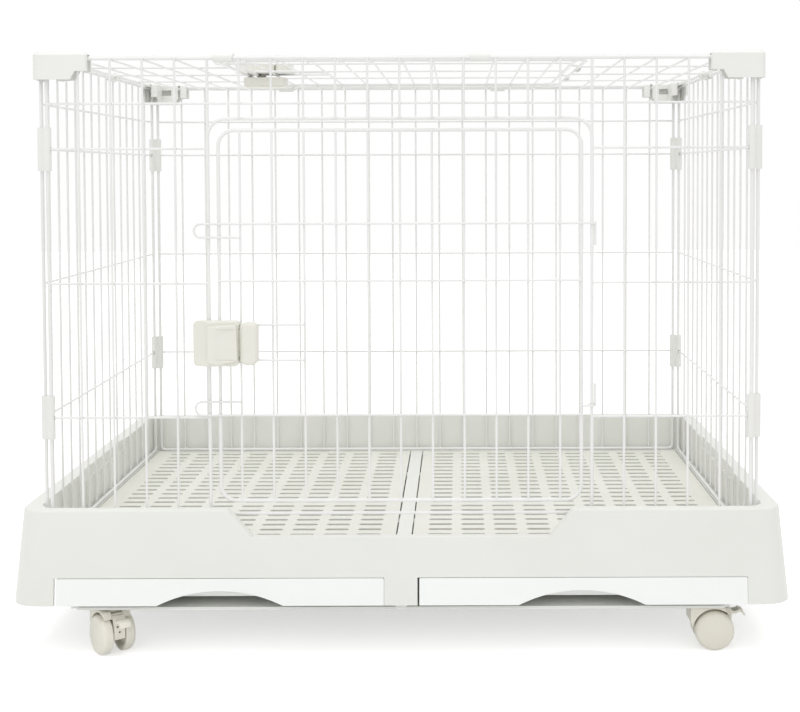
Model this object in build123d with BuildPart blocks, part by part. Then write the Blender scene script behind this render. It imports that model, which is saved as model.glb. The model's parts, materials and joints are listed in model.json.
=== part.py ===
from build123d import *
from math import cos, radians, sin
import os

# A wire rabbit cage on a moulded base with a slatted floor, two drawers and four casters.
# Millimetres. The origin is on the ground under the middle, +X right, +Y back, +Z up.
# The door is in the front wall, which faces -Y.

# Wire and welds
thin_wire = 2.6
frame_wire = 4.0
opening_wire = 3.8
sill_wire = 3.4
head_post_wire = 3.2
weld_depth = 0.2
end_inset = 0.4
over_frame = (frame_wire + thin_wire) / 2 - weld_depth
over_thin = thin_wire - weld_depth

# Wire walls
wire_pitch = 34.5
side_pitch = 34.0
level_step = 48.5
wall_bottom = 110.5
wall_top = wall_bottom + 11 * level_step
row_heights = [wall_bottom + level_step * n for n in (3, 6, 9, 10)]
front_half = 11 * wire_pitch
side_half = 7.5 * side_pitch
wall_plane = 260.0
side_plane = 387.0
bend_radius = 6.0

# Openings for the door and the roof hatch
opening_half = 6 * wire_pitch
opening_sill = 151.0
opening_head = 579.0
opening_bend = 20.0

# Roof
roof_height = 646.0
roof_half_x = 380.0
roof_half_y = 252.0
roof_row_step = 118.0
hatch_opening_half_y = 211.0

# Leaves, which are the door and the hatch
leaf_forward = 0.5
leaf_half = 195.6
leaf_bend = 17.0
door_low = 165.0
door_high = 566.6
hatch_half_y = 203.0
leaf_row = leaf_forward + over_frame
leaf_column = leaf_row - over_thin
loop_end = -222.0
hook_radius = leaf_row
hook_sweep = 240.0
tail_length = 24.0

# Latches
latch_wire_gap = 38.5
latch_wire_end = -3 * wire_pitch
latch_loop_end = -218.0
door_latch_height = 337.75
hatch_latch_y = 35.0
latch_left = -222.5
latch_split = -173.0
latch_right = -152.5
latch_half = 24.5
latch_back = 2.9
latch_body_front = 16.5
latch_front = 23.0
tongue_left = -213.0
tongue_half = 7.0
inner_half = 18.0
inner_right = -160.0
inner_back = -14.4

# Base
base_bottom = 58.0
rim_top = 159.0
base_length = 842.0
base_depth = 576.0
rim_length = 822.0
rim_depth = 556.0
base_corner = 30.0
rim_corner = 24.0
skin = 4.0
rim_hollow_top = 124.0
well_length = 786.0
well_depth = 533.0
ledge_top = 108.4
ledge_thick = 7.0
dip_floor = 129.0
dip_top_half = 187.0
dip_floor_half = 160.0
grip_length = 190.0
grip_depth = 13.0
grip_inset = 2.8

# Drawers and what they run on
plate_bottom = 50.0
plate_thick = 3.0
plate_top = plate_bottom + plate_thick
plate_half = 355.0
plate_front = -276.0
plate_rear = 256.0
bay_front = -280.0
bay_wall = 3.0
divider_half = 6.0
drawer_near = 19.0
drawer_far = 370.5
drawer_low = 57.2
drawer_high = 86.7
drawer_gap = 1.2
drawer_drift = 0.9
bin_near = 21.0
bin_far = 349.0
bin_bottom = 62.4
bin_top = 86.0
bin_front = -268.0
front_inside = -281.0
neck_low = 77.0
bin_rear = 247.0
finger_centre = 194.0
finger_half = 69.5
finger_rise = 16.5

# Floor grids
grid_near = 9.8
grid_far = 382.0
grid_gap = 1.7
grid_front = -244.0
grid_rear = 254.0
grid_thick = 3.0
slot_length = 27.5
slot_width = 7.6
slot_pitch_x = 38.0
slot_pitch_y = 21.3
slot_columns = 9
slot_rows = 23

# Clips and corner blocks
clip_wall = 2.4
clip_play = 0.05
clip_height = 47.0
roof_clip_length = 21.0
block_reach = 58.0
block_arm = 23.0
block_height = 29.5
block_wall = 2.4
block_bevel = 3.2
block_outer_x = 392.4
block_outer_y = 270.0
block_top = 650.7

# Casters
stem_x = 325.0
stem_front = -250.0
stem_rear = 240.0
stem_places = [(x, y) for x in (-stem_x, stem_x) for y in (stem_front, stem_rear)]
stem_dia = 8.0
stem_top = 60.0
hood_top = 47.6
wheel_radius = 21.4
wheel_width = 13.0
wheel_inner = 7.0
trail = 15.4
axle_dia = 5.0
axle_half = 18.0
web_half = 6.0
hood_half = 15.0
hood_gap = 2.4
lever_pivot = (26.0, 42.6)
lever_half = 6.2
trunnion_dia = 2.4

front_plane = Plane(origin=(0, -wall_plane, 0), x_dir=(1, 0, 0), z_dir=(0, -1, 0))
rear_plane = Plane(origin=(0, wall_plane, 0), x_dir=(-1, 0, 0), z_dir=(0, 1, 0))
left_plane = Plane(origin=(-side_plane, 0, 0), x_dir=(0, -1, 0), z_dir=(-1, 0, 0))
right_plane = Plane(origin=(side_plane, 0, 0), x_dir=(0, 1, 0), z_dir=(1, 0, 0))
roof_plane = Plane.XY.offset(roof_height)

os.makedirs("parts", exist_ok=True)


def save(builder, name):
    builder.part.label = name
    export_step(builder.part, f"parts/{name}.step")


# Wire work. On a wall or leaf plane, x runs along it, y runs up or back, and z points outwards.


def upright_bars(places, low, high, height, diameter):
    with Locations(*[(x, (low + high) / 2, height) for x in places]):
        Cylinder(diameter / 2, high - low, rotation=(90, 0, 0))


def level_bars(places, low, high, height, diameter):
    with Locations(*[((low + high) / 2, y, height) for y in places]):
        Cylinder(diameter / 2, high - low, rotation=(0, 90, 0))


def bent_wire(plane, points, bend, diameter):
    with BuildLine(plane) as path:
        Polyline(*points)
        ends = [path.line @ 0, path.line @ 1]
        bends = [v for v in path.vertices() if min((v.center() - e).length for e in ends) > 1]
        fillet(bends, bend)
    route = path.wire()
    with BuildSketch(Plane(origin=route @ 0, z_dir=route % 0)) as section:
        Circle(diameter / 2)
    sweep(section.sketch, path=route)


def frame_loop(plane, half, low, high, bend, diameter=frame_wire):
    # The loop's ends meet between two uprights.
    start = (0.27 * wire_pitch, low)
    corners = [start, (half, low), (half, high), (-half, high), (-half, low), start]
    with BuildLine(plane) as path:
        Polyline(*corners)
        ring = [v for v in path.vertices() if abs(plane.to_local_coords(v.center()).X) > half / 2]
        fillet(ring, bend)
    route = path.wire()
    with BuildSketch(Plane(origin=route @ 0, z_dir=route % 0)) as section:
        Circle(diameter / 2)
    sweep(section.sketch, path=route)


def closed_wall(plane, half, pitch, columns, name):
    # A welded wall: a bent frame, thin uprights outside it and thin rows between them.
    with BuildPart(plane) as wall:
        frame_loop(plane, half, wall_bottom, wall_top, bend_radius)
        places = [(n - (columns - 1) / 2) * pitch for n in range(1, columns - 1)]
        upright_bars(places, wall_bottom, wall_top, over_frame, thin_wire)
        level_bars(row_heights, -half, half, over_frame - over_thin, thin_wire)
    save(wall, name)


def front_wall():
    # The front wall leaves the door's opening free, inside thicker wire.
    row = over_frame - over_thin
    with BuildPart(front_plane) as wall:
        frame_loop(front_plane, front_half, wall_bottom, wall_top, bend_radius)
        arch = [
            (-opening_half, wall_bottom),
            (-opening_half, opening_head),
            (opening_half, opening_head),
            (opening_half, wall_bottom),
        ]
        bent_wire(front_plane, arch, opening_bend, opening_wire)
        level_bars([opening_sill], -opening_half, opening_half, 0, sill_wire)
        posts = [-opening_half, opening_half]
        upright_bars(posts, opening_head - opening_bend, wall_top, 0, head_post_wire)
        outer = [side * n * wire_pitch for n in range(7, 11) for side in (-1, 1)]
        upright_bars(outer, wall_bottom, wall_top, over_frame, thin_wire)
        short = [n * wire_pitch for n in range(-5, 6)]
        upright_bars(short, opening_head, wall_top, over_frame, thin_wire)
        level_bars(row_heights[3:], -front_half, front_half, row, thin_wire)
        level_bars(row_heights[:3], -front_half, -opening_half, row, thin_wire)
        level_bars(row_heights[:3], opening_half, front_half, row, thin_wire)
    save(wall, "front_panel")


def roof():
    # The roof's long wires lie under its frame, and leave the hatch's opening free.
    far_y = hatch_opening_half_y
    row = over_thin - over_frame
    rows = [-roof_row_step, 0, roof_row_step]
    with BuildPart(roof_plane) as panel:
        frame_loop(roof_plane, roof_half_x, -roof_half_y, roof_half_y, bend_radius)
        frame_loop(roof_plane, opening_half, -far_y, far_y, opening_bend, opening_wire)
        outer = [side * n * wire_pitch for n in range(7, 11) for side in (-1, 1)]
        upright_bars(outer, -roof_half_y, roof_half_y, -over_frame, thin_wire)
        short = [n * wire_pitch for n in range(-5, 6)]
        upright_bars(short, -roof_half_y, -far_y, -over_frame, thin_wire)
        upright_bars(short, far_y, roof_half_y, -over_frame, thin_wire)
        level_bars(rows, -roof_half_x, -opening_half, row, thin_wire)
        level_bars(rows, opening_half, roof_half_x, row, thin_wire)
    save(panel, "roof_panel")


def hinge_hook(plane, y, tail):
    # A wire from the leaf's frame round the opening's wire, with a tail along it.
    with BuildLine(Plane(origin=plane.from_local_coords((0, y, 0)), x_dir=plane.x_dir,
                         z_dir=plane.y_dir)) as path:
        # On this plane y points inwards, so the hook starts on the outer side.
        Line((leaf_half, -hook_radius), (opening_half, -hook_radius))
        CenterArc((opening_half, 0), hook_radius, -90, hook_sweep)
    route = path.wire()
    with BuildSketch(Plane(origin=route @ 0, z_dir=route % 0)) as section:
        Circle(thin_wire / 2)
    sweep(section.sketch, path=route)
    upright_bars([opening_half + hook_radius], min(y, y + tail), max(y, y + tail), 0, thin_wire)


def leaf(plane, low, high, rows, hooks, latch_y, name):
    # A door leaf. Its rows are outside its uprights, and their left ends loop past the
    # opening's wire, which stops the leaf. rows holds (height, way the loop turns or 0).
    level = plane.offset(leaf_forward)
    row_level = plane.offset(leaf_row)
    with BuildPart(plane) as grille:
        frame_loop(level, leaf_half, low, high, leaf_bend)
        columns = [n * wire_pitch for n in range(-5, 6)]
        upright_bars(columns, low + end_inset, high - end_inset, leaf_column, thin_wire)
        for y, turn in rows:
            if turn == 0:
                level_bars([y], -leaf_half, leaf_half, leaf_row, thin_wire)
                continue
            back = y + turn * 14.6
            loop = [(leaf_half, y), (loop_end, y), (loop_end, back), (-5 * wire_pitch, back)]
            bent_wire(row_level, loop, 7.2, thin_wire)
        latch_low = latch_y - latch_wire_gap / 2
        latch_high = latch_y + latch_wire_gap / 2
        latch_loop = [
            (latch_wire_end, latch_high),
            (latch_loop_end, latch_high),
            (latch_loop_end, latch_low),
            (latch_wire_end, latch_low),
        ]
        bent_wire(row_level, latch_loop, 4, thin_wire)
        for y, tail in hooks:
            hinge_hook(plane, y, tail)
    save(grille, name)


def latch(plane, y, prefix):
    # The housing grips the leaf's two short wires. The slide's inner block lies behind the
    # opening's wire, and its web passes through the leaf beside the leaf's frame.
    here = plane.shift_origin(plane.from_local_coords((0, y, 0)))
    side_view = Plane(origin=here.origin, x_dir=here.x_dir, z_dir=-here.y_dir)
    middle = (latch_left + latch_split) / 2
    bar_half = 14.5
    bar_back = 6.5
    bar_front = 13.6
    bar_left = -207.0
    web_left = -192.0
    web_right = -187.0
    play = 0.35
    raised = [(-205.5, 19), (-174.6, 21.5), (-173.2, -17.5), (-196, -22.3), (-205.5, -19.5)]
    with BuildPart(here) as housing:
        with BuildSketch(here.offset(latch_back)):
            with Locations((middle, 0)):
                RectangleRounded(latch_split - latch_left, 2 * latch_half, 5)
        extrude(amount=latch_body_front - latch_back)
        fillet(housing.faces().sort_by(Axis(here.origin, here.z_dir))[-1].edges(), 2.2)
        # The paler left end slopes back from the raised block.
        with BuildSketch(side_view):
            with BuildLine():
                Polyline((-207.5, 30), (-207.5, 15.6), (-230, 8.5), (-230, 30), close=True)
            make_face()
        extrude(amount=60, both=True, mode=Mode.SUBTRACT)
        # The raised block is a skewed pad with a shallow trough for the thumb.
        with BuildSketch(here.offset(latch_body_front - 1.5)) as pad:
            with BuildLine():
                Polyline(*raised, close=True)
            make_face()
            fillet(pad.vertices(), 2.2)
        extrude(amount=latch_front - latch_body_front + 1.5)
        fillet(housing.faces().sort_by(Axis(here.origin, here.z_dir))[-1].edges(), 1.2)
        with BuildSketch(side_view):
            with Locations((-186, latch_front + 33)):
                Circle(35)
        extrude(amount=17, both=True, mode=Mode.SUBTRACT)
        with Locations(((bar_left - play + latch_split) / 2 + 1, 0, (bar_back + bar_front) / 2)):
            Box(latch_split - bar_left + play + 2, 2 * (bar_half + play),
                bar_front - bar_back + 2 * play, mode=Mode.SUBTRACT)
        with Locations(((web_left + latch_split) / 2, 0, (latch_back + bar_back) / 2)):
            Box(latch_split - web_left + 2 * play, 2 * (tongue_half + play),
                bar_back - latch_back + 2, mode=Mode.SUBTRACT)
        channel_mid = (latch_loop_end + latch_split) / 2 + 2
        channel_long = latch_split - latch_loop_end + 4
        for side in (-1, 1):
            with Locations((channel_mid, side * latch_wire_gap / 2, leaf_row)):
                Cylinder(thin_wire / 2 + 0.05, channel_long, rotation=(0, 90, 0),
                         mode=Mode.SUBTRACT)
            with Locations((channel_mid, side * latch_wire_gap / 2, latch_back)):
                Box(channel_long, thin_wire, 2 * (leaf_row - latch_back), mode=Mode.SUBTRACT)
        # A pocket behind takes the bent end of the wires.
        with Locations((latch_loop_end + 2.6, 0, latch_back)):
            Box(8.6, latch_wire_gap + thin_wire + 0.4, 2 * (leaf_row + 1.5 - latch_back),
                mode=Mode.SUBTRACT)
    save(housing, f"{prefix}_latch_housing")
    with BuildPart(here) as slide:
        with BuildSketch(here.offset(latch_back + 2.4)):
            with Locations(((latch_split + 1 + latch_right) / 2, 0)):
                RectangleRounded(latch_right - latch_split - 1, 2 * latch_half - 3, 7)
        extrude(amount=latch_body_front + 1.5 - latch_back - 2.4)
        grip_edges = slide.faces().sort_by(Axis(here.origin, here.z_dir))[-1].edges()
        fillet(grip_edges, 4.5)
        with Locations(((bar_left + latch_split) / 2 + 1, 0, (bar_back + bar_front) / 2)):
            Box(latch_split - bar_left + 2, 2 * bar_half, bar_front - bar_back)
        with Locations(((web_left + web_right) / 2, 0, (bar_back + 1 - 6) / 2)):
            Box(web_right - web_left, 2 * tongue_half, bar_back + 1 + 6)
        # The inner block is the slide's tongue, as wide as the housing outside.
        with BuildSketch(here.offset(-2.45)):
            with Locations(((tongue_left + inner_right) / 2, 0)):
                RectangleRounded(inner_right - tongue_left, 2 * inner_half, 4)
        extrude(amount=inner_back + 2.45)
        inner_edges = slide.faces().sort_by(Axis(here.origin, here.z_dir))[0].edges()
        fillet(inner_edges, 3)
    save(slide, f"{prefix}_latch_slide")


# Clips and corner blocks


def corner_clips(side_x, side_y, name):
    # Two snap clips on one corner. Each is a barrel round either wall's end wire.
    front_point = (side_x * front_half, side_y * wall_plane)
    side_point = (side_x * side_plane, side_y * side_half)
    outer = frame_wire / 2 + clip_wall
    slot = thin_wire + 0.8
    row = over_frame - over_thin
    with BuildPart() as clips:
        for z in (row_heights[0], row_heights[2]):
            with BuildSketch(Plane.XY.offset(z - clip_height / 2)) as plan:
                with BuildLine() as spine:
                    Line(front_point, side_point)
                trace(spine.line, 2 * (outer - 1.2))
                with Locations(front_point, side_point):
                    Circle(outer)
            extrude(amount=clip_height)
            with Locations((*front_point, z), (*side_point, z)):
                Cylinder(frame_wire / 2 + clip_play, clip_height, mode=Mode.SUBTRACT)
            with Locations((side_x * (front_half - 6), side_y * (wall_plane + row), z)):
                Box(12, slot, slot, mode=Mode.SUBTRACT)
            with Locations((side_x * (side_plane + row), side_y * (side_half - 6), z)):
                Box(slot, 12, slot, mode=Mode.SUBTRACT)
    save(clips, name)


def roof_clips():
    # Short clips that hold the roof's frame to the top wires of the walls.
    outer = frame_wire / 2 + clip_wall
    middle = 5.5 * wire_pitch
    front_places = [-middle, 2.5 * wire_pitch]
    rear_places = [-middle, 3.5 * wire_pitch]
    with BuildPart() as clips:
        for side, places in ((-1, front_places), (1, rear_places)):
            for x in places:
                wall_point = (side * wall_plane, wall_top)
                roof_point = (side * roof_half_y, roof_height)
                plane = Plane(origin=(x - roof_clip_length / 2, 0, 0), x_dir=(0, 1, 0),
                              z_dir=(1, 0, 0))
                clip_body(plane, wall_point, roof_point, outer)
        for side in (-1, 1):
            wall_point = (side * side_plane, wall_top)
            roof_point = (side * roof_half_x, roof_height)
            plane = Plane(origin=(0, side_pitch + roof_clip_length / 2, 0), x_dir=(1, 0, 0),
                          z_dir=(0, -1, 0))
            clip_body(plane, wall_point, roof_point, outer)
    save(clips, "roof_clips")


def clip_body(plane, first, second, outer):
    with BuildSketch(plane) as section:
        with BuildLine() as spine:
            Line(first, second)
        trace(spine.line, 2 * (outer - 1.0))
        with Locations(first, second):
            Circle(outer)
    extrude(section.sketch, amount=roof_clip_length)
    with BuildSketch(plane) as bores:
        with Locations(first, second):
            Circle(frame_wire / 2 + clip_play)
    extrude(bores.sketch, amount=roof_clip_length, mode=Mode.SUBTRACT)


def block_plan(side_x, side_y, inset):
    # The corners of a block's L-shaped plan, drawn in by an inset. The outermost is first.
    near = inset
    far = block_reach - inset
    arm = block_arm - inset
    steps = [(near, near), (far, near), (far, arm), (arm, arm), (arm, far), (near, far)]
    return [(side_x * (block_outer_x - a), side_y * (block_outer_y - b)) for a, b in steps]


def corner_block(side_x, side_y, name):
    # An L-shaped cap pressed down over the corner where two walls and the roof meet.
    x = side_x * block_outer_x
    y = side_y * block_outer_y
    with BuildPart() as block:
        for inset, bend in ((0, 7), (block_wall, 5)):
            with BuildSketch(Plane.XY.offset(block_top - inset)) as plan:
                with BuildLine():
                    Polyline(*block_plan(side_x, side_y, inset), close=True)
                make_face()
                outermost = plan.vertices().sort_by(lambda v: abs(v.X) + abs(v.Y))[-1]
                fillet(outermost, bend)
            extrude(amount=-block_height, mode=Mode.SUBTRACT if inset else Mode.ADD)
            if inset == 0:
                chamfer(block.faces().sort_by(Axis.Z)[-1].edges(), block_bevel)
        # Each arm's lower edge rises towards its end.
        low = block_top - block_height
        rise = [(40, low - 1), (46, low + 9), (block_reach + 4, low + 9), (block_reach + 4, low - 1)]
        with BuildSketch(Plane.XZ.offset(-y - side_y * 4)):
            with BuildLine():
                Polyline(*[(x - side_x * a, b) for a, b in rise], close=True)
            make_face()
        extrude(amount=side_y * (block_arm + 8), mode=Mode.SUBTRACT)
        with BuildSketch(Plane.YZ.offset(x + side_x * 4)):
            with BuildLine():
                Polyline(*[(y - side_y * a, b) for a, b in rise], close=True)
            make_face()
        extrude(amount=-side_x * (block_arm + 8), mode=Mode.SUBTRACT)
        # A long window in the inner wall of the arm along X.
        with Locations((x - side_x * 22, y - side_y * (block_arm - block_wall / 2), block_top - 13)):
            Box(28, 2 * block_wall, 8, mode=Mode.SUBTRACT)
        # Slots in the arms' ends, open below, let the cap go down over the wires.
        slot_top = block_top - block_wall - 0.1
        slot_mid = (low + slot_top) / 2
        slot_tall = slot_top - low
        wires_y = (wall_plane + roof_half_y) / 2
        wires_x = (side_plane + roof_half_x) / 2
        with Locations((x - side_x * block_reach, side_y * wires_y, slot_mid)):
            Box(8, wall_plane - roof_half_y + 5, slot_tall, mode=Mode.SUBTRACT)
        with Locations((side_x * wires_x, y - side_y * block_reach, slot_mid)):
            Box(side_plane - roof_half_x + 5, 8, slot_tall, mode=Mode.SUBTRACT)
        with Locations((side_x * 10 * wire_pitch, y - side_y * block_arm, slot_mid)):
            Box(thin_wire + 1, 8, slot_tall, mode=Mode.SUBTRACT)
        # A groove in the outer wall of the arm along Y takes the side wall's upright.
        with Locations((side_x * (side_plane + over_frame), side_y * 6.5 * side_pitch, slot_mid)):
            Box(thin_wire + 0.2, thin_wire + 0.4, slot_tall, mode=Mode.SUBTRACT)
    save(block, name)


# Base


def skirt_outline(bottom, top, inset):
    # A flared rounded box between two heights, drawn in from the base's outer faces.
    def section(z):
        share = (z - base_bottom) / (rim_top - base_bottom)
        length = base_length + share * (rim_length - base_length) - 2 * inset
        depth = base_depth + share * (rim_depth - base_depth) - 2 * inset
        corner = base_corner + share * (rim_corner - base_corner) - inset
        return length, depth, corner

    with BuildPart(mode=Mode.PRIVATE) as flared:
        for z in (bottom, top):
            length, depth, corner = section(z)
            with BuildSketch(Plane.XY.offset(z)):
                RectangleRounded(length, depth, corner)
        loft(ruled=True)
    return flared.part


def base_tray():
    ledge_bottom = ledge_top - ledge_thick
    outer = skirt_outline(base_bottom, rim_top, 0)
    under = skirt_outline(base_bottom, ledge_bottom, skin)
    boss_places = [(0, -180), (0, 0), (0, 180), (-360, -120), (360, -120), (-360, 120), (360, 120)]
    with BuildPart(mode=Mode.PRIVATE) as rim_hollow:
        add(skirt_outline(ledge_bottom - 1, rim_hollow_top, skin))
        with BuildSketch(Plane.XY.offset(ledge_bottom - 2)):
            RectangleRounded(well_length + 2 * skin, well_depth + 2 * skin, 18 + skin)
        extrude(amount=rim_hollow_top, mode=Mode.SUBTRACT)
    with BuildPart() as tray:
        add(outer)
        top_edges = tray.faces().sort_by(Axis.Z)[-1].edges()
        fillet(top_edges, 2.4)
        with BuildSketch(Plane.XY.offset(ledge_top)):
            RectangleRounded(well_length, well_depth, 18)
        extrude(amount=rim_top - ledge_top, mode=Mode.SUBTRACT)
        add(under, mode=Mode.SUBTRACT)
        add(rim_hollow.part, mode=Mode.SUBTRACT)
        # Walls of the drawers' bay, the divider and its posts for the screws.
        bay_tall = ledge_bottom - plate_top
        bay_mid = (ledge_bottom + plate_top) / 2
        bay_deep = plate_rear - bay_front
        bay_y = (plate_rear + bay_front) / 2
        with Locations(*[(s * (plate_half - bay_wall / 2), bay_y, bay_mid) for s in (-1, 1)]):
            Box(bay_wall, bay_deep, bay_tall)
        with Locations((0, bay_y, bay_mid)):
            Box(2 * divider_half, bay_deep, bay_tall)
        with Locations((0, plate_rear - bay_wall / 2, bay_mid)):
            Box(2 * plate_half, bay_wall, bay_tall)
        with BuildSketch(Plane.XY.offset(plate_top)):
            with Locations(*boss_places):
                Circle(5.5)
        extrude(amount=bay_tall)
        with BuildSketch(Plane.XY.offset(plate_top)):
            with Locations(*boss_places):
                Circle(1.5)
        extrude(amount=14, mode=Mode.SUBTRACT)
        # Two wells under the floor grids, each with a step that carries its grid.
        step = grid_thick + 0.1
        centre_x = (grid_near + grid_far) / 2
        centre_y = (grid_front + grid_rear) / 2
        with BuildSketch(Plane.XY.offset(ledge_top)):
            with Locations((-centre_x, centre_y), (centre_x, centre_y)):
                Rectangle(grid_far - grid_near + 2 * grid_gap, grid_rear - grid_front + 0.8)
        extrude(amount=-step, mode=Mode.SUBTRACT)
        # The well is open up to the middle bar, apart from two tabs that carry the grid there.
        well_near = grid_near - grid_gap
        well_far = grid_far - 7
        with BuildSketch(Plane.XY.offset(ledge_top)):
            with Locations(*[(s * (well_near + well_far) / 2, centre_y - 2) for s in (-1, 1)]):
                Rectangle(well_far - well_near, grid_rear - grid_front - 10)
            with Locations(*[(s * (well_near + 4), y) for s in (-1, 1) for y in (-120, 120)]):
                Rectangle(8, 18, mode=Mode.SUBTRACT)
        extrude(amount=-ledge_thick - 1, mode=Mode.SUBTRACT)
        # The front rim dips between sloped ends, and each side rim has a hand grip.
        with BuildSketch(Plane.XZ.offset(base_depth / 2)):
            with BuildLine():
                Polyline(
                    (-dip_top_half, rim_top + 1),
                    (-dip_floor_half, dip_floor),
                    (dip_floor_half, dip_floor),
                    (dip_top_half, rim_top + 1),
                    close=True,
                )
            make_face()
        extrude(amount=-30, mode=Mode.SUBTRACT)
        for side in (-1, 1):
            with BuildSketch(Plane.YZ.offset(side * (well_length / 2 - 1))):
                with BuildLine():
                    Polyline(
                        (-grip_length / 2 - 6, rim_top + 1),
                        (-grip_length / 2, rim_top - grip_depth),
                        (grip_length / 2, rim_top - grip_depth),
                        (grip_length / 2 + 6, rim_top + 1),
                        close=True,
                    )
                make_face()
            extrude(amount=side * (grip_inset + 1), mode=Mode.SUBTRACT)
        # Openings for the drawers' fronts, open below.
        front_mid = (drawer_near + drawer_far) / 2
        front_wide = drawer_far - drawer_near + 2 * drawer_gap
        front_tall = drawer_high + 0.6 - base_bottom + 5
        with Locations(*[
            (s * front_mid, -base_depth / 2, base_bottom - 5 + front_tall / 2) for s in (-1, 1)
        ]):
            Box(front_wide, 2 * (base_depth / 2 + bay_front), front_tall, mode=Mode.SUBTRACT)
    save(tray, "base_tray")
    return boss_places


def bottom_plate(boss_places):
    ears = [place for place in boss_places if place[0] != 0]
    with BuildPart() as plate:
        with BuildSketch(Plane.XY.offset(plate_bottom)):
            with Locations((0, (plate_front + plate_rear) / 2)):
                RectangleRounded(2 * plate_half, plate_rear - plate_front, 12)
            with Locations(*ears):
                Circle(6.5)
            with Locations(*boss_places):
                Circle(1.9, mode=Mode.SUBTRACT)
            with Locations(*stem_places):
                Circle(7, mode=Mode.SUBTRACT)
        extrude(amount=plate_thick)
        with Locations(*[(x, y, plate_bottom) for x, y in boss_places]):
            Cone(3.4, 1.9, 1.5, align=(Align.CENTER, Align.CENTER, Align.MIN), mode=Mode.SUBTRACT)
        # Low rails that the drawers slide on.
        rail_tall = bin_bottom - 0.2 - plate_top
        with Locations(*[(x, -5, plate_top + rail_tall / 2) for x in (-290, -60, 60, 290)]):
            Box(5, 500, rail_tall)
    save(plate, "bottom_plate")
    with BuildPart() as screws:
        for x, y in boss_places:
            with BuildSketch(Plane(origin=(x, y, 0), x_dir=(1, 0, 0), z_dir=(0, -1, 0))) as half:
                with BuildLine():
                    Polyline(
                        (0, plate_bottom + 0.1),
                        (3.2, plate_bottom + 0.1),
                        (1.45, plate_bottom + 1.6),
                        (1.45, plate_bottom + 15),
                        (0, plate_bottom + 16),
                        close=True,
                    )
                make_face()
            revolve(axis=Axis((x, y, 0), (0, 0, 1)))
    save(screws, "bottom_screws")


def floor_grid(side, name):
    centre_x = side * (grid_near + grid_far) / 2
    centre_y = (grid_front + grid_rear) / 2
    slots_x = side * (27 + slot_length / 2 + (slot_columns - 1) / 2 * slot_pitch_x)
    tab_gap = 3.0
    with BuildPart() as grid:
        with BuildSketch(Plane.XY.offset(ledge_top - grid_thick)):
            with Locations((centre_x, centre_y)):
                Rectangle(grid_far - grid_near, grid_rear - grid_front)
            with Locations((slots_x, -1.0)):
                with GridLocations(slot_pitch_x, slot_pitch_y, slot_columns, slot_rows):
                    SlotOverall(slot_length, slot_width, mode=Mode.SUBTRACT)
            # A rear slit on either side of a tab.
            for low, high in ((24, 110), (130, 360)):
                with Locations((side * (low + high) / 2, grid_rear - tab_gap)):
                    Rectangle(high - low, 3.4, mode=Mode.SUBTRACT)
        extrude(amount=grid_thick)
    save(grid, name)


def drawer(side, name):
    face = skirt_outline(base_bottom, rim_top, 0)
    centre_x = side * (drawer_near + drawer_far) / 2 + drawer_drift
    bin_x = side * (bin_near + bin_far) / 2
    bin_y = (bin_front + bin_rear) / 2
    bin_wide = bin_far - bin_near
    bin_deep = bin_rear - bin_front
    with BuildPart() as box:
        with BuildSketch(Plane.XZ.offset(base_depth / 2)):
            with Locations((centre_x, (drawer_low + drawer_high) / 2)):
                RectangleRounded(drawer_far - drawer_near, drawer_high - drawer_low, 1.5)
            with BuildLine():
                ThreePointArc(
                    (side * finger_centre - finger_half, drawer_low),
                    (side * finger_centre, drawer_low + finger_rise),
                    (side * finger_centre + finger_half, drawer_low),
                )
                Line(
                    (side * finger_centre + finger_half, drawer_low),
                    (side * finger_centre - finger_half, drawer_low),
                )
            make_face(mode=Mode.SUBTRACT)
        extrude(amount=-(base_depth / 2 + front_inside))
        add(face, mode=Mode.INTERSECT)
        # A neck over the finger cut joins the front to the bin.
        with Locations((bin_x, (front_inside + bin_front) / 2, (neck_low + bin_top) / 2)):
            Box(bin_wide - 16, bin_front - front_inside + 2, bin_top - neck_low)
        with BuildSketch(Plane.XY.offset(bin_bottom)):
            with Locations((bin_x, bin_y)):
                RectangleRounded(bin_wide, bin_deep, 8)
        extrude(amount=bin_top - bin_bottom)
        with BuildSketch(Plane.XY.offset(bin_bottom + 2)):
            with Locations((bin_x, bin_y)):
                RectangleRounded(bin_wide - 4, bin_deep - 4, 6)
        extrude(amount=bin_top - bin_bottom, mode=Mode.SUBTRACT)
    save(box, name)


# Casters. On a caster's own plane, x points along its trail, y along its axle, z up.


def caster_plane(x, y, yaw):
    turn = radians(yaw)
    return Plane(origin=(x, y, 0), x_dir=(cos(turn), sin(turn), 0), z_dir=(0, 0, 1))


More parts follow.
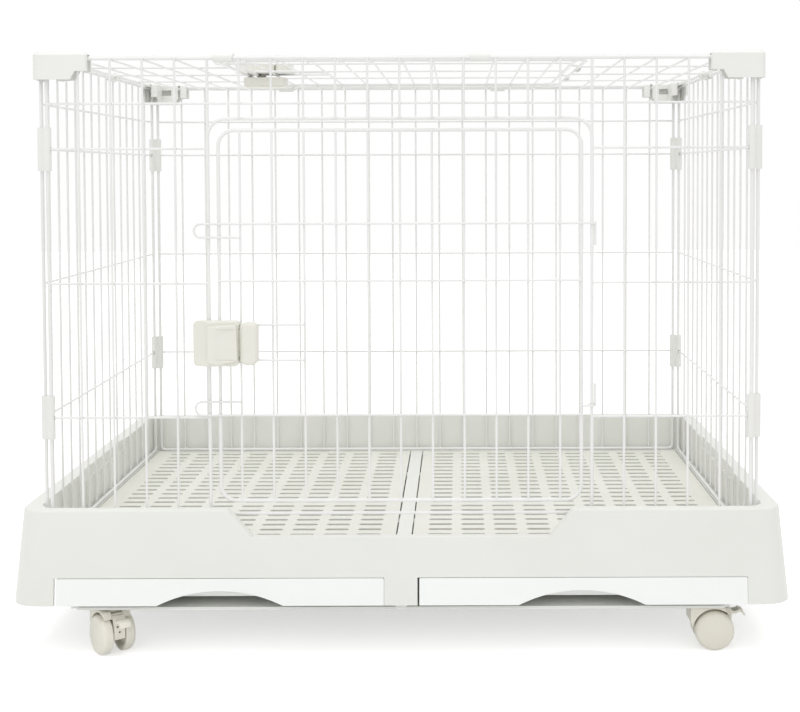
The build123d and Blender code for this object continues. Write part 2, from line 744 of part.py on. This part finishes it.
def caster_hood(plane, prefix):
    side_view = Plane(origin=plane.origin, x_dir=plane.x_dir, z_dir=-plane.y_dir)
    axle_point = (trail, wheel_radius)
    shoulder = [(-10.5, hood_top), (26, hood_top), (31.5, 37), (18, 28), (0, 11), (-10.5, 30)]
    with BuildPart(plane) as hood:
        with BuildSketch(side_view):
            with BuildLine():
                Polyline(*shoulder, close=True)
            make_face()
            with Locations(axle_point):
                Circle(wheel_radius + hood_gap, mode=Mode.SUBTRACT)
        extrude(amount=hood_half, both=True)
        with BuildSketch(side_view):
            with BuildLine():
                Polyline((-9.5, 44), (20, 44), (22, 24), (17, 14), (2, 12), (-9.5, 31), close=True)
            make_face()
            with Locations(axle_point):
                Circle(8.5)
        extrude(amount=web_half, both=True)
        top_edges = hood.faces().sort_by(Axis.Z)[-1].edges()
        fillet(top_edges, 3)
        # A notch over the trail end for the brake lever, and its pivot holes.
        with Locations((lever_pivot[0] + 3, 0, lever_pivot[1])):
            Box(16, 2 * (lever_half + 0.4), 20, mode=Mode.SUBTRACT)
        with BuildSketch(side_view):
            with Locations(lever_pivot):
                Circle(trunnion_dia / 2 + 0.05)
        extrude(amount=8.6, both=True, mode=Mode.SUBTRACT)
        with BuildSketch(side_view):
            with Locations(axle_point):
                Circle(axle_dia / 2 + 0.01)
        extrude(amount=30, both=True, mode=Mode.SUBTRACT)
        with BuildSketch(plane.offset(hood_top - 1)):
            Circle(stem_dia / 2)
        extrude(amount=stem_top - hood_top + 1)
    save(hood, f"{prefix}_hood")


def caster_axle(plane, prefix):
    with BuildPart(plane) as axle:
        with Locations((trail, 0, wheel_radius)):
            Cylinder(axle_dia / 2, 2 * axle_half, rotation=(90, 0, 0))
        chamfer(axle.edges().filter_by(GeomType.CIRCLE), 0.5)
    save(axle, f"{prefix}_axle")


def caster_wheel(plane, side, name):
    # Half of the wheel's section, turned about the axle. It is closed on its outer face.
    inner = side * wheel_inner
    outer = side * (wheel_inner + wheel_width)
    bore = axle_dia / 2 + 0.04
    section = Plane(origin=plane.from_local_coords((trail, 0, wheel_radius)),
                    x_dir=plane.y_dir, z_dir=plane.x_dir)
    with BuildPart(plane) as wheel:
        with BuildSketch(section):
            with BuildLine():
                Polyline(
                    (side * (axle_half + 0.3), 0),
                    (side * (axle_half + 0.3), bore),
                    (inner, bore),
                    (inner, 6),
                    (inner + side * 4, 7.5),
                    (inner + side * 4, 15.5),
                    (inner + side * 0.3, 17),
                    (inner + side * 0.3, wheel_radius - 1.2),
                    (inner + side * 1.5, wheel_radius),
                    (outer - side * 3.5, wheel_radius),
                )
                ThreePointArc(
                    (outer - side * 3.5, wheel_radius),
                    (outer - side * 1.0, wheel_radius - 2.2),
                    (outer - side * 0.3, wheel_radius - 5),
                )
                Line((outer - side * 0.3, wheel_radius - 5), (outer, 0))
                Line((outer, 0), (side * (axle_half + 0.3), 0))
            make_face()
        revolve(axis=Axis(section.origin, plane.y_dir))
    save(wheel, name)


def brake_lever(plane, prefix):
    side_view = Plane(origin=plane.origin, x_dir=plane.x_dir, z_dir=-plane.y_dir)
    px, pz = lever_pivot
    with BuildPart(plane) as lever:
        with BuildSketch(side_view):
            with Locations(lever_pivot):
                Circle(2.6)
            with BuildLine():
                Polyline(
                    (px - 2, pz + 1.5),
                    (px + 6, pz + 1.2),
                    (px + 10.5, pz - 2.2),
                    (px + 14, pz - 2.4),
                    (px + 18, pz - 0.4),
                    (px + 22, pz - 2.0),
                    (px + 25, pz - 6.8),
                    (px + 23, pz - 7.8),
                    (px + 20.5, pz - 4.4),
                    (px + 18, pz - 3.2),
                    (px + 14, pz - 5.4),
                    (px + 9.5, pz - 5.2),
                    (px + 8.5, pz - 24),
                    (px + 5.5, pz - 24),
                    (px + 5, pz - 3),
                    (px, pz - 2.4),
                    close=True,
                )
            make_face()
        extrude(amount=lever_half, both=True)
        with BuildSketch(side_view):
            with Locations(lever_pivot):
                Circle(trunnion_dia / 2)
        extrude(amount=8.3, both=True)
        with Locations((px + 7, 0, pz - 10)):
            Box(8, 7.5, 2, mode=Mode.SUBTRACT)
        with Locations((px + 7, 0, pz - 16)):
            Cylinder(1.2, 8, rotation=(0, 90, 0), mode=Mode.SUBTRACT)
    save(lever, f"{prefix}_brake_lever")


def caster_sockets():
    with BuildPart() as sockets:
        with Locations(*[(x, y, 48.2) for x, y in stem_places]):
            Cylinder(10, 1.8, align=(Align.CENTER, Align.CENTER, Align.MIN))
            Cylinder(6.95, 13.3, align=(Align.CENTER, Align.CENTER, Align.MIN))
            Cylinder(stem_dia / 2 + 0.05, 12.4, align=(Align.CENTER, Align.CENTER, Align.MIN),
                     mode=Mode.SUBTRACT)
    save(sockets, "caster_sockets")


closed_wall(rear_plane, front_half, wire_pitch, 23, "rear_panel")
closed_wall(left_plane, side_half, side_pitch, 16, "left_panel")
closed_wall(right_plane, side_half, side_pitch, 16, "right_panel")
front_wall()
roof()
door_rows = [(466, -1), (404.3, 0), (258.8, 1)]
door_hooks = [(466, -tail_length), (268, tail_length)]
leaf(front_plane, door_low, door_high, door_rows, door_hooks, door_latch_height, "front_door")
hatch_rows = [(-roof_row_step, -1), (0, 0), (roof_row_step, 1)]
hatch_hooks = [(-80, -tail_length), (80, tail_length)]
leaf(roof_plane, -hatch_half_y, hatch_half_y, hatch_rows, hatch_hooks, hatch_latch_y, "roof_hatch")
latch(front_plane, door_latch_height, "door")
latch(roof_plane, hatch_latch_y, "hatch")
for side_x, across in ((-1, "left"), (1, "right")):
    for side_y, along in ((-1, "front"), (1, "rear")):
        corner_clips(side_x, side_y, f"corner_clips_{along}_{across}")
        corner_block(side_x, side_y, f"corner_block_{along}_{across}")
roof_clips()
screw_places = base_tray()
bottom_plate(screw_places)
floor_grid(-1, "floor_grid_left")
floor_grid(1, "floor_grid_right")
drawer(-1, "drawer_left")
drawer(1, "drawer_right")
caster_sockets()
casters = [
    ("front_left", -stem_x, stem_front, -52),
    ("front_right", stem_x, stem_front, 0),
    ("rear_left", -stem_x, stem_rear, 160),
    ("rear_right", stem_x, stem_rear, 35),
]
for place, x, y, yaw in casters:
    plane = caster_plane(x, y, yaw)
    prefix = f"caster_{place}"
    caster_hood(plane, prefix)
    caster_axle(plane, prefix)
    caster_wheel(plane, -1, f"{prefix}_wheel_a")
    caster_wheel(plane, 1, f"{prefix}_wheel_b")
    if place.startswith("front"):
        brake_lever(plane, prefix)
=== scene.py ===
import json
import math

import bmesh
import bpy
import numpy as np
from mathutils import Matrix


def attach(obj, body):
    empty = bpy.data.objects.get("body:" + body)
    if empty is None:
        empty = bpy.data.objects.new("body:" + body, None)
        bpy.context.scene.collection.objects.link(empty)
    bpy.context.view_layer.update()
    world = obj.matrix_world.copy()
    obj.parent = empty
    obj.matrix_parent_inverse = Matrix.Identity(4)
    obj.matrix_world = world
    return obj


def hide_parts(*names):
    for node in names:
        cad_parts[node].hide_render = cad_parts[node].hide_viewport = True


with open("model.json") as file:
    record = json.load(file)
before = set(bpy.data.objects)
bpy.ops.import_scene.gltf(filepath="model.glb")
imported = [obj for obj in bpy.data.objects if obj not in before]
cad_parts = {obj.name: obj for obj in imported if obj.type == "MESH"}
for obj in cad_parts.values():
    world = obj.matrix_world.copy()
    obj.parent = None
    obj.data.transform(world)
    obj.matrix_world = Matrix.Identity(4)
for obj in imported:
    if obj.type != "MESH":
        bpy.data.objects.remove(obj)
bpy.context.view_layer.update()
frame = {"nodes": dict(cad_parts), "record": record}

nodes = frame["nodes"]

# finishes: what a user would change about each surface
wireCoat = {"color": (0.85, 0.85, 0.84), "dark": (0.80, 0.80, 0.785), "roughness": 0.34,
            "peelScale": 900, "peelDepth": 0.00004}
trimPlastic = {"color": (0.83, 0.83, 0.80), "dark": (0.79, 0.785, 0.755), "roughness": 0.42,
               "grainScale": 1400, "grainDepth": 0.00004}
latchPlastic = {"color": (0.81, 0.80, 0.735), "dark": (0.76, 0.745, 0.67), "roughness": 0.36,
                "grainScale": 1500, "grainDepth": 0.00003}
basePlastic = {"color": (0.815, 0.822, 0.78), "dark": (0.79, 0.797, 0.752), "roughness": 0.46,
               "grainScale": 1100, "grainDepth": 0.00005}
gridPlastic = {"color": (0.80, 0.80, 0.735), "dark": (0.76, 0.76, 0.69), "roughness": 0.5,
               "grainScale": 1100, "grainDepth": 0.00005}
drawerPlastic = {"color": (0.925, 0.94, 0.92), "dark": (0.90, 0.915, 0.89), "roughness": 0.4,
                 "grainScale": 1300, "grainDepth": 0.00003}
casterPlastic = {"color": (0.83, 0.805, 0.71), "dark": (0.78, 0.75, 0.65), "roughness": 0.36,
                 "grainScale": 1600, "grainDepth": 0.00003}
zincSteel = {"color": (0.62, 0.62, 0.60), "dark": (0.48, 0.48, 0.47), "roughness": 0.3,
             "grainScale": 700, "grainDepth": 0.00002}


def newMaterial(name):
    material = bpy.data.materials.new(name)
    material.use_nodes = True
    tree = material.node_tree
    tree.nodes.clear()
    shader = tree.nodes.new("ShaderNodeBsdfPrincipled")
    output = tree.nodes.new("ShaderNodeOutputMaterial")
    tree.links.new(shader.outputs["BSDF"], output.inputs["Surface"])
    return material, tree, shader


drift = {"scale": 9, "detail": 3, "darkUpTo": 0.3, "lightFrom": 0.62}
grain = {"detail": 2, "smoother": 0.06, "rougher": 0.08, "bumpStrength": 0.5}


def mouldedFinish(name, look, scaleKey="grainScale", depthKey="grainDepth", metallic=0.0, coat=0.0):
    # two tones drift slowly over the piece, and a fine grain breaks up the gloss
    material, tree, shader = newMaterial(name)
    make, link = tree.nodes.new, tree.links.new
    place = make("ShaderNodeTexCoord")
    slow = make("ShaderNodeTexNoise")
    slow.inputs["Scale"].default_value = drift["scale"]
    slow.inputs["Detail"].default_value = drift["detail"]
    tones = make("ShaderNodeValToRGB")
    tones.color_ramp.elements[0].position = drift["darkUpTo"]
    tones.color_ramp.elements[0].color = (*look["dark"], 1)
    tones.color_ramp.elements[1].position = drift["lightFrom"]
    tones.color_ramp.elements[1].color = (*look["color"], 1)
    fine = make("ShaderNodeTexNoise")
    fine.inputs["Scale"].default_value = look[scaleKey]
    fine.inputs["Detail"].default_value = grain["detail"]
    gloss = make("ShaderNodeMapRange")
    gloss.inputs["To Min"].default_value = look["roughness"] - grain["smoother"]
    gloss.inputs["To Max"].default_value = look["roughness"] + grain["rougher"]
    bump = make("ShaderNodeBump")
    bump.inputs["Strength"].default_value = grain["bumpStrength"]
    bump.inputs["Distance"].default_value = look[depthKey]
    link(place.outputs["Object"], slow.inputs["Vector"])
    link(place.outputs["Object"], fine.inputs["Vector"])
    link(slow.outputs["Fac"], tones.inputs["Fac"])
    link(tones.outputs["Color"], shader.inputs["Base Color"])
    link(fine.outputs["Fac"], gloss.inputs["Value"])
    link(gloss.outputs["Result"], shader.inputs["Roughness"])
    link(fine.outputs["Fac"], bump.inputs["Height"])
    link(bump.outputs["Normal"], shader.inputs["Normal"])
    shader.inputs["Metallic"].default_value = metallic
    shader.inputs["Coat Weight"].default_value = coat
    return material


finishes = {
    "coated_wire": mouldedFinish("whitePowderCoat", wireCoat, "peelScale", "peelDepth", coat=0.2),
    "trim_plastic": mouldedFinish("whiteTrimPlastic", trimPlastic),
    "latch": mouldedFinish("ivoryLatchPlastic", latchPlastic),
    "base_plastic": mouldedFinish("paleGreyBasePlastic", basePlastic),
    "grid_plastic": mouldedFinish("paleGridPlastic", gridPlastic),
    "drawer_plastic": mouldedFinish("whiteDrawerPlastic", drawerPlastic),
    "caster_plastic": mouldedFinish("creamCasterNylon", casterPlastic),
    "steel": mouldedFinish("zincPlatedSteel", zincSteel, metallic=1.0),
}
slotOf = {entry["node"]: entry["material_slot"] for entry in frame["record"]["subparts"]}
bodyOf = {node: body for body, members in frame["record"]["behaviour"]["bodies"].items()
          for node in members}
jointOf = {joint["name"]: joint for joint in frame["record"]["behaviour"]["joints"]}


def finishOf(node):
    # the latches are moulded in a slightly deeper ivory than the other trim
    return finishes["latch" if "_latch_" in node else slotOf[node]]


def dressNodes():
    for name, piece in nodes.items():
        piece.data.materials.clear()
        piece.data.materials.append(finishOf(name))
    print("nodes dressed:", len(nodes))


def standFor(piece, node):
    # the piece takes the node's place, finish and motion
    piece.data.materials.clear()
    piece.data.materials.append(finishOf(node))
    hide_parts(node)
    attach(piece, bodyOf[node])


# clips: radius in metres that the mould leaves on each kind's sharp edges
mouldRadius = {"corner_clips": 0.0001, "roof_clips": 0.0004}
mouldShape = {"segments": 2, "sharpAngle": 32}


def softenedCopy(node, radius):
    # the node's own form, welded, with every edge sharper than sharpAngle rounded
    shape = bmesh.new()
    shape.from_mesh(nodes[node].data)
    bmesh.ops.remove_doubles(shape, verts=shape.verts, dist=1e-6)
    for face in shape.faces:
        face.smooth = True
    mesh = bpy.data.meshes.new(node + "_moulded")
    shape.to_mesh(mesh)
    shape.free()
    if "custom_normal" in mesh.attributes:
        mesh.attributes.remove(mesh.attributes["custom_normal"])
    piece = bpy.data.objects.new(mesh.name, mesh)
    bpy.context.scene.collection.objects.link(piece)
    edge = piece.modifiers.new("mouldRadius", "BEVEL")
    edge.width = radius
    edge.segments = mouldShape["segments"]
    edge.limit_method = "ANGLE"
    edge.angle_limit = math.radians(mouldShape["sharpAngle"])
    edge.use_clamp_overlap = False
    edge.harden_normals = True
    standFor(piece, node)
    return piece


def softenClips():
    made = 0
    for kind, radius in mouldRadius.items():
        for node in sorted(nodes):
            if kind in node:
                softenedCopy(node, radius)
                made += 1
    print("clips softened:", made)


# caster wheel: half section in metres, from the middle of its outer face to its bore
wheel = {"innerFace": 0.007, "width": 0.013, "radius": 0.0214, "crown": 0.0011,
         "shoulder": 0.0047, "innerEdge": 0.0012, "rimDepth": 0.0044, "recess": 0.004,
         "hubRadius": 0.006, "bore": 0.00254, "boreEnd": 0.0183, "ease": 0.0004,
         "rimBack": 0.0003, "draft": 0.0015, "around": 96, "creaseAngle": 38}


def wheelSection():
    # distance along the axle and from it: a shallow parabola for the outer face, a quarter
    # ellipse for the shoulder, a flat tread, a quarter circle, then the hollow inner side
    outer = wheel["innerFace"] + wheel["width"]
    faceRadius = wheel["radius"] - wheel["shoulder"]
    across = np.linspace(0.0, 1.0, 14)
    face = np.stack([outer - wheel["crown"] * across ** 2, faceRadius * across], axis=1)
    turn = np.linspace(0, np.pi / 2, 12)[1:]
    shoulder = np.stack([outer - wheel["crown"] - wheel["shoulder"] * (1 - np.cos(turn)),
                         faceRadius + wheel["shoulder"] * np.sin(turn)], axis=1)
    small = wheel["innerEdge"]
    inner = wheel["innerFace"] + wheel["rimBack"]
    edge = np.stack([inner + small * (1 - np.sin(turn)),
                     wheel["radius"] - small * (1 - np.cos(turn))], axis=1)
    tread = np.array([[inner + small + wheel["rimBack"], wheel["radius"]]])
    rim = wheel["radius"] - wheel["rimDepth"]
    floor = wheel["innerFace"] + wheel["recess"]
    ease, draft = wheel["ease"], wheel["draft"]
    hub, back, bore = wheel["hubRadius"], wheel["innerFace"], wheel["bore"]
    inside = np.array([[inner, rim + ease], [inner + ease, rim], [floor - ease, rim - draft],
                       [floor, rim - draft - ease], [floor, hub + draft + ease],
                       [floor - ease, hub + draft], [back + ease, hub], [back, hub - ease],
                       [back, bore + ease], [back + ease, bore],
                       [wheel["boreEnd"], bore], [wheel["boreEnd"], 0.0]])
    return np.concatenate([face, shoulder, tread, edge, inside])


def turnedMesh(name, section, centre, axle):
    # the section is carried round the axle: point = centre + axle * along
    # + (side * cos(angle) + up * sin(angle)) * distance; the two ends on the axle are poles
    around = wheel["around"]
    angle = np.arange(around) * (2 * np.pi / around)
    up = np.array([0.0, 0.0, 1.0])
    side = np.cross(up, axle)
    ring = np.cos(angle)[:, None] * side + np.sin(angle)[:, None] * up
    body = section[1:-1]
    grid = (centre + body[:, 0, None, None] * axle
            + body[:, 1, None, None] * ring[None, :, :]).reshape(-1, 3)
    poles = centre + section[[0, -1], 0][:, None] * axle
    points = np.concatenate([grid, poles])
    rows = len(body)
    row, column = np.meshgrid(np.arange(rows - 1), np.arange(around), indexing="ij")
    nextColumn = (column + 1) % around
    quads = np.stack([row * around + column, (row + 1) * around + column,
                      (row + 1) * around + nextColumn, row * around + nextColumn],
                     axis=-1).reshape(-1, 4)
    step = np.arange(around)
    first = np.stack([np.full(around, rows * around), step, (step + 1) % around], axis=1)
    last = (rows - 1) * around
    second = np.stack([np.full(around, rows * around + 1), last + (step + 1) % around,
                       last + step], axis=1)
    mesh = bpy.data.meshes.new(name)
    mesh.from_pydata(points.tolist(), [], quads.tolist() + first.tolist() + second.tolist())
    shape = bmesh.new()
    shape.from_mesh(mesh)
    bmesh.ops.recalc_face_normals(shape, faces=shape.faces)
    for face in shape.faces:
        face.smooth = True
    for line in shape.edges:
        line.smooth = line.calc_face_angle(0) < math.radians(wheel["creaseAngle"])
    shape.to_mesh(mesh)
    shape.free()
    return mesh


def buildWheels():
    for node in sorted(nodes):
        if "_wheel_" not in node:
            continue
        joint = jointOf[node + "_spin"]
        centre = np.array(joint["pos_m"])
        axle = np.array(joint["axis"]) * (1 if node.endswith("_b") else -1)
        mesh = turnedMesh(node + "_turned", wheelSection(), centre, axle)
        piece = bpy.data.objects.new(mesh.name, mesh)
        bpy.context.scene.collection.objects.link(piece)
        standFor(piece, node)
    print("wheels built")


# photograph's viewpoint
view = {"place": (0.0636, -1.671, 0.521), "pitchDown": 2.14, "roll": 0.18,
        "focalPixels": 1308.6, "sensorWidth": 36, "imageWidth": 800, "imageHeight": 712,
        "axisX": 458.9, "axisY": 221.0, "clipStart": 0.05, "clipEnd": 60}


def placeCamera():
    lens = bpy.data.cameras.new("photoCamera")
    camera = bpy.data.objects.new("photoCamera", lens)
    bpy.context.scene.collection.objects.link(camera)
    lens.sensor_fit = "HORIZONTAL"
    lens.sensor_width = view["sensorWidth"]
    lens.lens = view["focalPixels"] / view["imageWidth"] * lens.sensor_width
    lens.shift_x = (view["imageWidth"] / 2 - view["axisX"]) / view["imageWidth"]
    lens.shift_y = (view["axisY"] - view["imageHeight"] / 2) / view["imageWidth"]
    lens.clip_start, lens.clip_end = view["clipStart"], view["clipEnd"]
    camera.location = view["place"]
    camera.rotation_euler = (math.radians(90 - view["pitchDown"]), math.radians(view["roll"]), 0)
    bpy.context.scene.camera = camera
    print("camera placed")


# studio
studio = {"floorSize": 14, "floorColor": (0.9, 0.9, 0.9), "floorGlow": 0.5, "worldLight": 0.80,
          "floorRoughness": 0.9,
          "topPower": 24, "topSize": 3.0, "topPlace": (0, -0.2, 2.6),
          "frontPower": 12, "frontSize": 2.4, "frontPlace": (-0.6, -3.0, 1.9),
          "frontTilt": 60, "frontTurn": -12}


def seenRays(tree, path):
    # 1 for rays from the camera, from gloss and through glass
    either = tree.nodes.new("ShaderNodeMath")
    either.operation = "MAXIMUM"
    tree.links.new(path.outputs["Is Camera Ray"], either.inputs[0])
    tree.links.new(path.outputs["Is Glossy Ray"], either.inputs[1])
    seen = tree.nodes.new("ShaderNodeMath")
    seen.operation = "MAXIMUM"
    tree.links.new(either.outputs["Value"], seen.inputs[0])
    tree.links.new(path.outputs["Is Transmission Ray"], seen.inputs[1])
    return seen


def backgroundGlow(tree, strength):
    # 1 for rays from the camera, from gloss and through glass, and a plain light level otherwise
    make, link = tree.nodes.new, tree.links.new
    path = make("ShaderNodeLightPath")
    seen = seenRays(tree, path)
    level = make("ShaderNodeMapRange")
    level.inputs["To Min"].default_value = strength
    level.inputs["To Max"].default_value = 1.0
    link(seen.outputs["Value"], level.inputs["Value"])
    return level


def buildStudio():
    world = bpy.data.worlds.new("studioWorld")
    world.use_nodes = True
    tree = world.node_tree
    level = backgroundGlow(tree, studio["worldLight"])
    tree.nodes["Background"].inputs["Color"].default_value = (1, 1, 1, 1)
    tree.links.new(level.outputs["Result"], tree.nodes["Background"].inputs["Strength"])
    bpy.context.scene.world = world

    half = studio["floorSize"] / 2
    mesh = bpy.data.meshes.new("studioFloor")
    mesh.from_pydata([(-half, -half, 0), (half, -half, 0), (half, half, 0), (-half, half, 0)], [],
                     [(0, 1, 2, 3)])
    floor = bpy.data.objects.new("studioFloor", mesh)
    bpy.context.scene.collection.objects.link(floor)
    material, tree, shader = newMaterial("studioFloorPaint")
    shader.inputs["Base Color"].default_value = (*studio["floorColor"], 1)
    shader.inputs["Roughness"].default_value = studio["floorRoughness"]
    shader.inputs["Emission Color"].default_value = (1, 1, 1, 1)
    path = tree.nodes.new("ShaderNodeLightPath")
    glow = tree.nodes.new("ShaderNodeMath")
    glow.operation = "MULTIPLY"
    glow.inputs[1].default_value = studio["floorGlow"]
    tree.links.new(seenRays(tree, path).outputs["Value"], glow.inputs[0])
    tree.links.new(glow.outputs["Value"], shader.inputs["Emission Strength"])
    mesh.materials.append(material)

    frontTurn = (math.radians(studio["frontTilt"]), 0, math.radians(studio["frontTurn"]))
    lamps = {"topLamp": (studio["topPlace"], (0, 0, 0), studio["topSize"], studio["topPower"]),
             "frontLamp": (studio["frontPlace"], frontTurn, studio["frontSize"],
                           studio["frontPower"])}
    for name, (place, turn, size, power) in lamps.items():
        light = bpy.data.lights.new(name, "AREA")
        light.size = size
        light.energy = power
        lamp = bpy.data.objects.new(name, light)
        lamp.location = place
        lamp.rotation_euler = turn
        bpy.context.scene.collection.objects.link(lamp)
    bpy.context.scene.view_settings.view_transform = "Standard"
    print("studio built")


dressNodes()
softenClips()
buildWheels()
placeCamera()
buildStudio()
